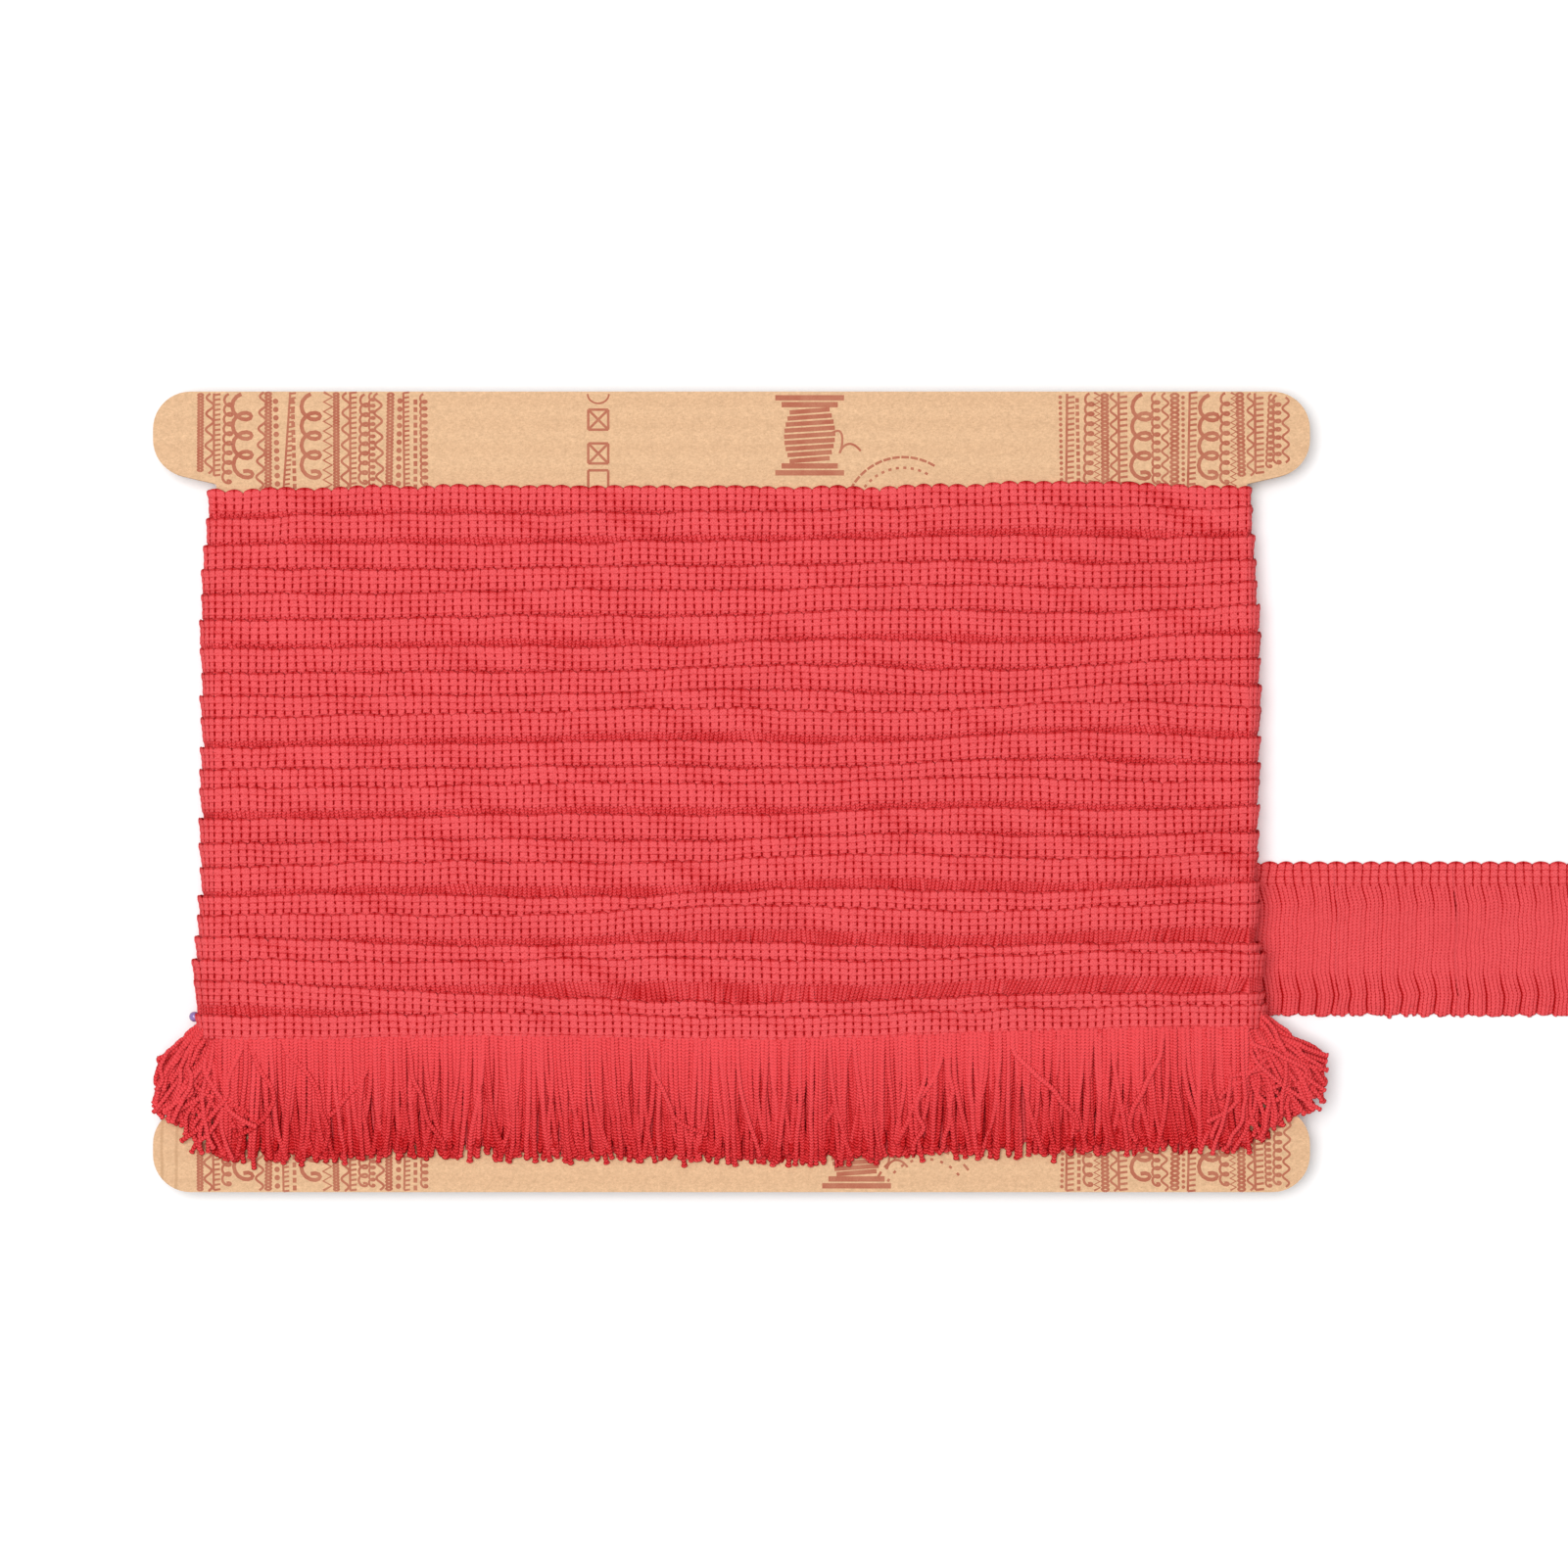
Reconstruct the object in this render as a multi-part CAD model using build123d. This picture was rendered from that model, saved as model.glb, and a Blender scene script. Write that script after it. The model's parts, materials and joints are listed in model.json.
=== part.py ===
from build123d import *

import os
from bisect import bisect_left
from itertools import accumulate
from math import cos, pi, radians, tan

# A die-cut corrugated card wound with one long strip of chainette fringe trim.
#
# The card lies flat with its printed face up. +Z is out of the printed face, +X runs along
# the card towards the free tail of trim, and +Y points at the end of the card that the trim
# leaves bare. The origin is on the resting plane, under the middle of the card's length, in
# the middle of the strip that crosses the back and carries the card. The heights on the card
# below are counted from the card's own middle, and each piece is moved into place as it is
# saved. Everything is in millimetres.

# --- The card: two flat liners glued to a fluted medium -------------------------------
CARD_LENGTH = 370.0
CARD_HEIGHT = 256.0
WAIST_LENGTH = 329.4
LOBE_HEIGHT = 29.6
LOBE_SLOPE = 13.0
LOBE_RADIUS = 12.0
SHOULDER_RADIUS = 1.0
CARD_THICKNESS = 4.2
LINER = 0.4
MEDIUM = 0.3
FLUTE_PITCH = 7.8
GLUE_GAP = 0.02

# --- The trim: a knitted heading with a fringe of chainette cords ------------------------
HEADING = 7.5
FRINGE = 42.5
TRIM = HEADING + FRINGE
STRIP = 0.87
LAYER = 0.95
EDGE_STRIP = 0.68
EDGE_LAYER = 0.75
GAP = 0.1
EDGE_GAP = 0.3
EDGE_RADIUS = 0.35
SKIRT = 1.4

# --- The winding: where each lap's top edge lies, from the bare end down ------------------
FIRST_LAP_TOP = 97.2
LAP_STEPS = (
    7.0, 9.5, 8.0, 7.5, 8.0, 9.5, 8.0, 7.5, 5.5, 10.0, 8.0,
    5.0, 10.0, 8.0, 6.5, 11.0, 5.0, 11.5, 4.5, 13.5, 4.5,
)

# --- The free end: it crosses the back and leaves as a tail past the card's right edge ----
RUN = 1.0
TAIL_TOP = -22.4
TAIL_ROOT = 174.5
TAIL_SEGMENT = 38.5
TAIL_SEGMENTS = 3
FOLD_GAP = 0.2

# --- The pearl-headed pin that holds the last lap at the left edge -------------------------
PIN_DIAMETER = 0.6
PIN_HOLE = 0.8
PIN_LENGTH = 34.0
PIN_TIP = 3.0
PIN_INSET = 1.2
BEAD_DIAMETER = 3.3
BEAD_GAP = 0.3

# --- Worked out from the dimensions above ---------------------------------------------------
lap_tops = list(accumulate((-step for step in LAP_STEPS), initial=FIRST_LAP_TOP))
last_lap = len(lap_tops)
fringe_ends = [top - TRIM for top in lap_tops]
half_waist = WAIST_LENGTH / 2
shoulder = CARD_HEIGHT / 2 - LOBE_HEIGHT
lobe_tip = shoulder + (CARD_LENGTH - WAIST_LENGTH) / 2 * tan(radians(LOBE_SLOPE))


def layers_below(lap, y):
    """How many earlier layers lie under this lap at y, counting part layers at their ends."""
    if y >= fringe_ends[0]:
        return lap - 1
    if y <= fringe_ends[lap - 1]:
        return 0
    rising = fringe_ends[::-1]
    above = bisect_left(rising, y)
    part = (rising[above] - y) / (rising[above] - rising[above - 1])
    return lap - (last_lap - above) - part


deepest = max(layers_below(lap, top) for lap, top in enumerate(lap_tops, 1))
card_back = RUN + GAP + GAP + LAYER * deepest + STRIP
card_front = card_back + CARD_THICKNESS
card_middle = (card_back + card_front) / 2
pin_y = lap_tops[-1] - PIN_INSET
rest_y = (lap_tops[-1] + TAIL_TOP - TRIM) / 2


def save(node, shape):
    """Move one node's solid from the card's middle to the origin, and write its STEP file."""
    placed = Pos(0, -rest_y, 0) * shape
    placed.label = node
    export_step(placed, os.path.join("parts", node + ".step"))


def box_between(low, high):
    """A block from its lowest corner to its highest."""
    size = [b - a for a, b in zip(low, high)]
    middle = [(a + b) / 2 for a, b in zip(low, high)]
    return Pos(*middle) * Box(*size)


def sheet(outline, bottom, thickness):
    """A flat outline in XY given a thickness upwards from a height."""
    return extrude(Pos(0, 0, bottom) * outline, thickness, dir=(0, 0, 1))


def along_x(profile, low, high):
    """A closed profile of (y, z) points run along X from low to high."""
    points = [(low, y, z) for y, z in profile]
    return extrude(make_face(Polyline(*points, close=True)), high - low, dir=(1, 0, 0))


# --- The card -------------------------------------------------------------------------------
def card_outline():
    """The wide I shape: a straight waist between two round-ended lobes."""
    quarter = [
        (CARD_LENGTH / 2, CARD_HEIGHT / 2),
        (CARD_LENGTH / 2, lobe_tip),
        (half_waist, shoulder),
    ]
    right = quarter + [(x, -y) for x, y in reversed(quarter)]
    left = [(-x, y) for x, y in reversed(right)]
    flat = make_face(Polyline(*right, *left, close=True))
    lobe_corners = [v for v in flat.vertices() if abs(v.X) > half_waist + 1]
    flat = fillet(lobe_corners, LOBE_RADIUS)
    shoulder_corners = [v for v in flat.vertices() if abs(abs(v.X) - half_waist) < 0.01]
    return fillet(shoulder_corners, SHOULDER_RADIUS)


def card_fluting(outline):
    """The wavy medium, with its flutes along X and one of them open in line with the pin."""
    height = CARD_THICKNESS - 2 * LINER - 2 * GLUE_GAP - MEDIUM
    steps_per_flute = 8
    steps = round((CARD_HEIGHT / FLUTE_PITCH + 1) * steps_per_flute)
    step = FLUTE_PITCH / steps_per_flute
    ys = [-CARD_HEIGHT / 2 - FLUTE_PITCH / 2 + step * i for i in range(steps + 1)]
    wave = [(y, card_middle + height / 2 * cos(2 * pi * (y - pin_y) / FLUTE_PITCH)) for y in ys]
    start = -CARD_LENGTH / 2
    top = Spline(*[(start, y, z + MEDIUM / 2) for y, z in wave])
    bottom = Spline(*[(start, y, z - MEDIUM / 2) for y, z in wave])
    ends = [Line(top @ 0, bottom @ 0), Line(top @ 1, bottom @ 1)]
    wavy = extrude(make_face([top, bottom] + ends), CARD_LENGTH, dir=(1, 0, 0))
    return wavy & sheet(outline, card_back, CARD_THICKNESS)


def make_card():
    outline = card_outline()
    save("card_front_liner", sheet(outline, card_front - LINER, LINER))
    save("card_back_liner", sheet(outline, card_back, LINER))
    save("card_fluting", card_fluting(outline))


# --- The laps -------------------------------------------------------------------------------
def loop_section(lap, y, outside):
    """The closed loop of a lap at y, cut across the card, at its inner or outer face."""
    layers = layers_below(lap, y)
    half_length = half_waist + EDGE_GAP + EDGE_LAYER * layers
    half_height = CARD_THICKNESS / 2 + GAP + LAYER * layers
    radius = EDGE_RADIUS + EDGE_LAYER * layers
    if outside:
        half_length += EDGE_STRIP
        half_height += STRIP
        radius += EDGE_STRIP
    plane = Plane(origin=(0, y, card_middle), x_dir=(1, 0, 0), z_dir=(0, 1, 0))
    return plane * RectangleRounded(2 * half_length, 2 * half_height, radius)


def lap_ring(lap, low, high):
    """One lap of strip between two heights on the card, resting on the layers below it."""
    inner_ends = [y for y in fringe_ends[: lap - 1] if low + 0.01 < y < high - 0.01]
    knots = sorted([low, high] + inner_ends)
    outer = loft([loop_section(lap, y, True) for y in knots], ruled=True)
    inner = loft([loop_section(lap, y, False) for y in knots], ruled=True)
    ring = outer - inner
    if low < -shoulder + 1:
        ring -= lobe_room(-1) + lobe_room(1)
    if low < pin_y < high:
        ring -= pin_hole()
    return ring


def lobe_room(side):
    """The space that the lower lobe takes beside the waist, where no strip can wrap round."""
    near = side * (half_waist - 1)
    far = side * CARD_LENGTH / 2
    low = (min(near, far), -CARD_HEIGHT / 2, 0)
    high = (max(near, far), -shoulder + 0.6, 2 * card_middle)
    return box_between(low, high)


def pin_hole():
    """The hole that the pin makes through the strip at the left edge."""
    outermost = half_waist + EDGE_LAYER * (deepest + 2)
    across = Plane(origin=(-outermost, pin_y, card_middle), z_dir=(1, 0, 0))
    return extrude(across * Circle(PIN_HOLE / 2), outermost - half_waist + 2)


def make_laps():
    for lap, top in enumerate(lap_tops[:-1], 1):
        save(f"lap_{lap:02d}_heading", lap_ring(lap, top - HEADING, top))
        save(f"lap_{lap:02d}_fringe", lap_ring(lap, top - TRIM, top - HEADING))


def make_last_lap():
    """The last lap covers the front and both edges; across the back it becomes the run."""
    top = lap_tops[-1]
    heading = lap_ring(last_lap, top - HEADING, top)
    back_room = half_waist - 2
    low = (-back_room, top - HEADING - 1, 0)
    high = (back_room, top + 1, card_middle)
    save(f"lap_{last_lap:02d}_heading", heading - box_between(low, high))
    fringe = lap_ring(last_lap, top - TRIM, top - HEADING)
    for name, side in (("left_corner_fringe", -1), ("right_corner_fringe", 1)):
        near = side * (half_waist - 0.6)
        far = side * CARD_LENGTH / 2
        low = (min(near, far), -shoulder + 0.6, 0)
        high = (max(near, far), top - HEADING, 2 * card_middle)
        save(name, fringe & box_between(low, high))


def front_height(lap, y):
    """The height of a lap's underside on the front of the card."""
    return card_front + GAP + LAYER * layers_below(lap, y)


def make_front_skirt():
    """The last lap's fringe hangs free on the front and lifts away from the card."""
    high = lap_tops[-1] - HEADING - 2 * FOLD_GAP
    low = fringe_ends[-1]
    knots = [low] + [y for y in reversed(fringe_ends[:-1]) if y < high - 0.01] + [high]
    under = [(y, front_height(last_lap, y)) for y in knots]
    over = [(y, z + SKIRT) for y, z in reversed(under)]
    reach = half_waist - 1.2
    save("front_skirt", along_x(under + over, -reach, reach))


# --- The run across the back, and the tail ----------------------------------------------------
def run_edge(drop):
    """A line along the run, this far below its top edge, from the left edge to the tail."""
    start = (-(half_waist - 2), lap_tops[-1] - drop)
    end = (TAIL_ROOT - FOLD_GAP, TAIL_TOP - drop)
    return Spline(start, end, tangents=((1, 0), (1, 0)), tangent_scalars=(1.2, 1.2))


def run_strip(high, low):
    """The part of the run between two distances below its top edge."""
    upper = run_edge(high)
    lower = run_edge(low)
    sides = [Line(upper @ 0, lower @ 0), Line(upper @ 1, lower @ 1)]
    return sheet(make_face([upper, lower] + sides), 0, RUN)


def make_run():
    save("back_run_heading", run_strip(0, HEADING))
    save("back_run_fringe", run_strip(HEADING, TRIM))


def make_tail():
    """The tail lies on the table in short lengths that fold up from one another."""
    for segment in range(TAIL_SEGMENTS):
        start = TAIL_ROOT + segment * TAIL_SEGMENT + FOLD_GAP
        end = TAIL_ROOT + (segment + 1) * TAIL_SEGMENT - FOLD_GAP
        strips = (("heading", 0, HEADING), ("fringe", HEADING, TRIM))
        for name, high, low in strips:
            piece = box_between((start, TAIL_TOP - low, 0), (end, TAIL_TOP - high, RUN))
            save(f"tail_{segment + 1}_{name}", piece)


# --- The pin --------------------------------------------------------------------------------
def make_pin():
    edge = half_waist + EDGE_GAP + EDGE_LAYER * layers_below(last_lap, pin_y) + EDGE_STRIP
    bead_x = -edge - BEAD_GAP - BEAD_DIAMETER / 2
    along = Plane(origin=(bead_x, pin_y, card_middle), z_dir=(1, 0, 0))
    straight = extrude(along * Circle(PIN_DIAMETER / 2), PIN_LENGTH - PIN_TIP)
    tip_base = along.offset(PIN_LENGTH - PIN_TIP)
    tip_end = along.offset(PIN_LENGTH)
    tip = loft([tip_base * Circle(PIN_DIAMETER / 2), tip_end * Circle(PIN_DIAMETER / 12)])
    shank = straight + tip
    save("pin_shank", shank)
    save("pin_bead", Pos(bead_x, pin_y, card_middle) * Sphere(BEAD_DIAMETER / 2) - shank)


os.makedirs("parts", exist_ok=True)
make_card()
make_laps()
make_last_lap()
make_front_skirt()
make_run()
make_tail()
make_pin()
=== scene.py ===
import json
import math

import bpy
import numpy as np
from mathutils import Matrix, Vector


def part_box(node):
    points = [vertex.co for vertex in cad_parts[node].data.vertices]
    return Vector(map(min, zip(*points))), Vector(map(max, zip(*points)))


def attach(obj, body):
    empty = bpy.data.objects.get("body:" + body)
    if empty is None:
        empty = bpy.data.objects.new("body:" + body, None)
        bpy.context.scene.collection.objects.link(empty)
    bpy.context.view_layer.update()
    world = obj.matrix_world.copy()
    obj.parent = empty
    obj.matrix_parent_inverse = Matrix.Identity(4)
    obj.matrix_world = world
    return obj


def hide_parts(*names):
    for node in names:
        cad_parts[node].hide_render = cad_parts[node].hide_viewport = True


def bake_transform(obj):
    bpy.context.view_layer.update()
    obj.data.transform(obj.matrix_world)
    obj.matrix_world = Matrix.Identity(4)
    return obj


# A card of fringe trim: a corrugated card wound with shingled laps of one knitted strip.
# Lengths are millimetres in the frame's own axes until a mesh is made. The strip is counted
# in ribs along its length, and in millimetres down from its scalloped edge (called "drop").

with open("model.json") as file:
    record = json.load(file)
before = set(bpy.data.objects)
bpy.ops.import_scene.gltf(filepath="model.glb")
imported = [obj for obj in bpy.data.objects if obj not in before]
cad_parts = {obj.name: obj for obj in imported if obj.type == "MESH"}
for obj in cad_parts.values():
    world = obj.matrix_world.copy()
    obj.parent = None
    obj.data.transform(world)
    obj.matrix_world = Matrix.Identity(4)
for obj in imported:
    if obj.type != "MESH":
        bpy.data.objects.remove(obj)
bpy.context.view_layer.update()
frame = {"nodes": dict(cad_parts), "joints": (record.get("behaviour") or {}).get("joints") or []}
MM = 0.001
TURN = 2 * math.pi
rng = np.random.default_rng(22)


def box_mm(node):
    """A CAD node's lowest and highest corner."""
    low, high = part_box(node)
    return np.array(low) / MM, np.array(high) / MM


# --- Places read from the frame ---
LAPS = sum(name.endswith("_heading") and name.startswith("lap_") for name in frame["nodes"])
lap_tops = np.array([box_mm(f"lap_{lap:02d}_heading")[1][1] for lap in range(1, LAPS + 1)])
CARD_LOW, CARD_HIGH = box_mm("card_back_liner")[0], box_mm("card_front_liner")[1]
CARD_X, CARD_Y, CARD_Z = (CARD_LOW + CARD_HIGH) / 2
TAIL_END = box_mm("tail_3_heading")[1][0]
TAIL_TOP = box_mm("tail_1_heading")[1][1]
JOINTS = {joint["name"]: joint for joint in frame["joints"]}
BENDS = [joint["pos_m"][0] / MM for name, joint in JOINTS.items() if name.startswith("tail_")]

# --- The strip ---
TRIM = 50.0  # its width
STRIP = 0.87  # its thickness, without the relief of the face
RIB = 2.744  # one knitted rib, along the strip
HEADING = 7.9  # drop at which the heading ends and the cords start
SCALLOP, NOTCH_FADE = 1.05, 2.3  # depth of the notches in its edge, drop at which they end
HOLE_ROWS = ((3.4, 0.35), (5.65, 0.6), (7.7, 0.35))  # drop and half height of each
BINDER_FROM, BINDER_PITCH = 2.85, 2.15  # drops of the binding threads between those rows
CORDS_PER_RIB = 2
STITCH = 1.0  # one chain stitch, along a cord
CORD_DEPTH = 0.5  # how far the gaps between cords sink below their crests
WOUND_CORD_DEPTH, TAIL_CORD_DEPTH = 0.32, 0.45

# Drops of the points across the strip: heading, fringe in view, hidden fringe, and back up inside.
HEADING_DROPS = (0, 0.35, 0.8, 1.4, 2.1, 2.7, 3.1, 3.5, 3.95, 4.5, 5.0, 5.5, 6.0, 6.5, 7.1, 7.7)
BAND_DROPS = tuple(8.2 + 0.55 * step for step in range(15))
HIDDEN_DROPS = (19.0, 24.0, 31.0, 39.0, 46.0, 49.2, TRIM)
UNDER_DROPS = (TRIM, 44.0, 36.0, 28.0, 20.0, 12.0, 6.0, 2.0, 0.4)
SHORT_END = 8.3  # drop at which the last lap stops, as its cords are separate pieces
SHORT_UNDER_DROPS = (SHORT_END, 6.0, 2.0, 0.4)

# --- How the strip is wound ---
HALF_FLAT = 164.65  # from the card's middle to where the strip bends round an edge
SHOULDER_BOTTOM, SHOULDER_TOP = CARD_Y - 98.0, CARD_Y + 98.1  # where the card's lobes start
FLAT_RIBS = 120  # ribs across each face
COLUMNS_PER_RIB, BACK_COLUMNS_PER_RIB, RUN_COLUMNS_PER_RIB = 8, 4, 4
FACE_GAP = 0.1  # air between the card and the first lap
LAYER = 0.95  # rise for each layer under a lap, on the card's faces
EDGE_RADIUS = 0.35  # how far out the first lap passes the card's edges
EDGE_PACKED = 0.5  # how much further out each layer under it pushes a lap there
EDGE_LAYER = 0.75  # what each layer adds to a bend's radius when its ribs are counted
# How much further out than that a lap bulges: lap, at the left edge, at the right edge.
SWELL = (
    *((1, 0.8, 0), (2, 1.4, 0), (5, 1.5, 0), (8.5, 0.3, -0.1), (12, 0.5, -0.3), (14, 0.7, -1.0)),
    *((17, 0.7, -0.9), (18.5, 1.5, -0.3), (20, 2.5, 1.2), (21, 3.0, 1.5), (22, 1.9, 1.8)),
)
# How far the last laps were pulled up or down at the edges: turn, distance up.
LEFT_LIFT = ((18.5, 0.0), (19.5, 3.0), (20.5, 2.8), (21.5, 7.7), (22.5, 0.0))
RIGHT_LIFT = ((18.0, 0.0), (19.0, -2.7), (20.0, 1.0), (21.0, -0.5), (22.0, 2.7), (23.0, 0.0))
LIFT_REACH = 145.0
# How far above the first lap's own top its strip starts, over its first half turn.
FIRST_TURNS, FIRST_LIFT = (1.0, 1.25, 1.5), (1.6, 0.9, 0.3)

# --- Colours, as sRGB from 0 to 255 ---
KRAFT, KRAFT_BACK, KRAFT_MEDIUM = (234, 191, 150), (214, 174, 136), (192, 148, 108)
KRAFT_SPECK, KRAFT_STRIPE, KRAFT_FOLD_SHADE = (150, 105, 72), (186, 140, 102), (178, 136, 98)
INK = (170, 86, 60)
# The yarn's red: its lit crests, its middle, and the saturated red of painted shade in its hollows.
RED_CREST, RED_MIDDLE, RED_HOLLOW = (244, 96, 100), (219, 62, 65), (172, 4, 8)
RED_SHEEN = (255, 120, 120)
STEEL_DARK, STEEL_LIGHT = (196, 198, 202), (228, 229, 232)
PEARL_BLUE, PEARL_PINK, PEARL_RIM = (120, 96, 170), (166, 140, 196), (96, 48, 92)


# --- Meshes ---
def placed(name, data):
    """A new object in the scene."""
    made = bpy.data.objects.new(name, data)
    bpy.context.scene.collection.objects.link(made)
    return made


def plain_mesh(name, points, faces):
    """A mesh object from points in metres and faces."""
    mesh = bpy.data.meshes.new(name)
    mesh.from_pydata(points, [], faces)
    return placed(name, mesh)


def new_mesh(name, points, quads, caps, maps, fields):
    """A mesh object from points in mm, smooth quads and flat caps, with maps and fields."""
    mesh = bpy.data.meshes.new(name)
    mesh.vertices.add(len(points))
    mesh.vertices.foreach_set("co", (points * MM).astype(np.float32).ravel())
    corners = np.concatenate([quads.ravel(), caps.ravel()]).astype(np.int32)
    cap_starts = quads.size + np.arange(len(caps)) * caps.shape[1]
    starts = np.concatenate([np.arange(len(quads)) * 4, cap_starts]).astype(np.int32)
    mesh.loops.add(len(corners))
    mesh.loops.foreach_set("vertex_index", corners)
    mesh.polygons.add(len(starts))
    mesh.polygons.foreach_set("loop_start", starts)
    mesh.polygons.foreach_set("use_smooth", np.arange(len(starts)) < len(quads))
    for layer, values in maps.items():
        with_caps = np.concatenate([values.ravel(), np.zeros(2 * caps.size)])
        mesh.uv_layers.new(name=layer).data.foreach_set("uv", with_caps.astype(np.float32))
    for field, values in fields.items():
        data = mesh.attributes.new(field, "FLOAT", "POINT").data
        data.foreach_set("value", values.astype(np.float32).ravel())
    mesh.update(calc_edges=True)
    mesh.validate()
    return placed(name, mesh)


def loop_quads(columns, rows):
    """Quads of a grid, columns first, whose rows close into a ring."""
    column = np.arange(columns - 1)[:, None]
    row = np.arange(rows)[None, :]
    after = (row + 1) % rows
    a, b = column * rows + row, (column + 1) * rows + row
    c, d = (column + 1) * rows + after, column * rows + after
    return np.stack([a, b, c, d], axis=-1).reshape(-1, 4)


def corner_map(left, right, low, high):
    """Bake coordinates of each quad's corners, from those of its sides."""
    corners = [(left, low), (right, low), (right, high), (left, high)]
    return np.stack([np.stack(np.broadcast_arrays(*corner), axis=-1) for corner in corners], axis=-2)


def folded_map(columns, rows, bands):
    """Bake coordinates of a grid, folded into bands one above another."""
    per_band = math.ceil((columns - 1) / bands)
    column, row = np.arange(columns - 1)[:, None], np.arange(rows)[None, :]
    band = column // per_band
    edge, margin, top_margin = 0.1, 0.2, 0.3
    sides = [(column % per_band + step + edge) / (per_band + margin) for step in (0, 1)]
    levels = [(band + (row + step + edge) / (rows + top_margin)) / bands for step in (0, 1)]
    return corner_map(*sides, *levels)


def down_and_up(down, up):
    """The drops of points down one face and up the other, and which are on the way up."""
    return np.array(down + up), np.arange(len(down + up)) >= len(down)


def strip_object(name, points, along, drops, fields, bands):
    """A closed strip piece. points is columns x rows x 3, rows running down and back up."""
    columns, rows, _ = points.shape
    quads = loop_quads(columns, rows)
    strip = np.stack([along, drops], axis=-1).reshape(-1, 2)
    ring = np.arange(rows)
    caps = np.stack([ring[::-1], (columns - 1) * rows + ring])
    maps = {"OFBake": folded_map(columns, rows, bands), "Strip": strip[quads]}
    return new_mesh(name, points.reshape(-1, 3), quads, caps, maps, fields)


def dress(piece, material, body, nodes):
    """Give a piece its material, hide the CAD nodes it stands in for, if any, and attach it to its body, if
    any.
    """
    piece.data.materials.append(material)
    if nodes:
        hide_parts(*nodes)
    if body:
        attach(piece, body)


# --- Winding ---
def drawn_waves(count, lengths, drifts):
    """Sine waves along the strip: length, phase, and phase drift from turn to turn of each."""
    return [(rng.uniform(*lengths), rng.uniform(0, TURN), rng.uniform(*drifts)) for _ in range(count)]


def wave_sum(waves, x, turn):
    return sum(np.sin(TURN * x / length + phase + drift * turn) for length, phase, drift in waves)


WANDER = 0.26  # size of each long wave, which a lap's edge partly shares with its neighbours
WAVES = drawn_waves(7, (60, 210), (0.5, 1.3))
RIPPLES = drawn_waves(9, (12, 44), (3, 14))
cord_noise = rng.normal(0, 1, 611)


def ripple(x, turn):
    """Short uneven ripples of about 1 mm, different on every lap."""
    return wave_sum(RIPPLES, x, turn) / 3


def own_noise(number, shift):
    """The random draw of a cord or scallop, by its number along the strip."""
    return cord_noise[(np.floor(number + 1e-6).astype(int) + shift) % len(cord_noise)]


def smooth_step(share):
    """From 0 to 1 as share does, easing in and out."""
    share = np.clip(share, 0, 1)
    return share * share * (3 - 2 * share)


def read_off(place, table):
    """The amount at a place, from a table of (place, amount) pairs."""
    return np.interp(place, *zip(*table))


def hump(distance, width):
    """1 at no distance, dying out smoothly over a width."""
    return np.exp(-((distance / width) ** 2))


def strip_top(turn):
    """The height of the strip's top edge after this many turns; lap 1 is centred at 1.25."""
    turns = np.concatenate([FIRST_TURNS, np.arange(2, LAPS + 1) + 0.25])
    return np.interp(turn, turns, np.concatenate([lap_tops[0] + np.array(FIRST_LIFT), lap_tops[1:]]))


def layers_under(turn, y):
    """How many layers lie under the strip at a height y."""
    index = np.interp(-y, TRIM - lap_tops, np.arange(1, LAPS + 1))
    return np.maximum(turn - 0.25 - index, 0)


def lap_edge(x, turn):
    """The height of the strip's scalloped edge at a place and turn."""
    left = smooth_step((-x - (HALF_FLAT - LIFT_REACH)) / LIFT_REACH)
    right = smooth_step((x - (HALF_FLAT - LIFT_REACH)) / LIFT_REACH)
    lift = left * read_off(turn, LEFT_LIFT) + right * read_off(turn, RIGHT_LIFT)
    return strip_top(turn) + WANDER * wave_sum(WAVES, x, turn) + lift


def edge_swell(side, lap):
    """How far a lap bulges out at an edge, side being the edge's sign."""
    laps, left, right = zip(*SWELL)
    return np.where(side < 0, np.interp(lap, laps, left), np.interp(lap, laps, right))


def scallop_drop(ribs, drop):
    """How far the scalloped edge dips below its peaks; a notch falls every second rib."""
    return SCALLOP * (1 - np.abs(np.sin(np.pi * ribs / 2)) ** 0.7) * np.clip(1 - drop / NOTCH_FADE, 0, 1)


def heading_relief(ribs, drop):
    """Height of the knitted heading: ribs, binder rows and small holes."""
    base, rib_crown, binder_crown = 0.36, 0.06, 0.07
    groove_depth, hole_depth, split_depth, rim_depth = 0.06, 0.46, 0.1, 0.32
    to_groove = np.abs((ribs + 0.5) % 1 - 0.5) * RIB
    holes = sum(hump(drop - row, tall + 0.1) for row, tall in HOLE_ROWS)
    groove = hump(to_groove, 0.28) * (groove_depth + hole_depth * holes)
    rows_down = (drop - BINDER_FROM) / BINDER_PITCH
    crown = rib_crown * np.cos(TURN * (ribs + 0.5)) - binder_crown * np.cos(TURN * rows_down)
    loop_split = hump(((ribs % 2) - 1) * RIB, 0.3) * hump(drop - 1.2, 1.0)
    return base + crown - groove - split_depth * loop_split - rim_depth * hump(drop, 0.4)


def cord_relief(ribs, drop, depth):
    """Height of the chain cords side by side, with their stitches."""
    side = np.abs((ribs * CORDS_PER_RIB) % 1 - 0.5) * 2
    stitch = 0.06 * np.cos(TURN * (drop / STITCH + 0.35 * side))
    return depth * (np.sqrt(np.clip(1 - side**2 * 0.97, 0, 1)) - 1) + stitch


def strip_relief(ribs, drop, depth):
    """The strip's face: heading above, cords below."""
    share = np.clip((drop - HEADING) / 0.4, 0, 1)
    return heading_relief(ribs, drop) * (1 - share) + cord_relief(ribs, drop, depth) * share


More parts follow.
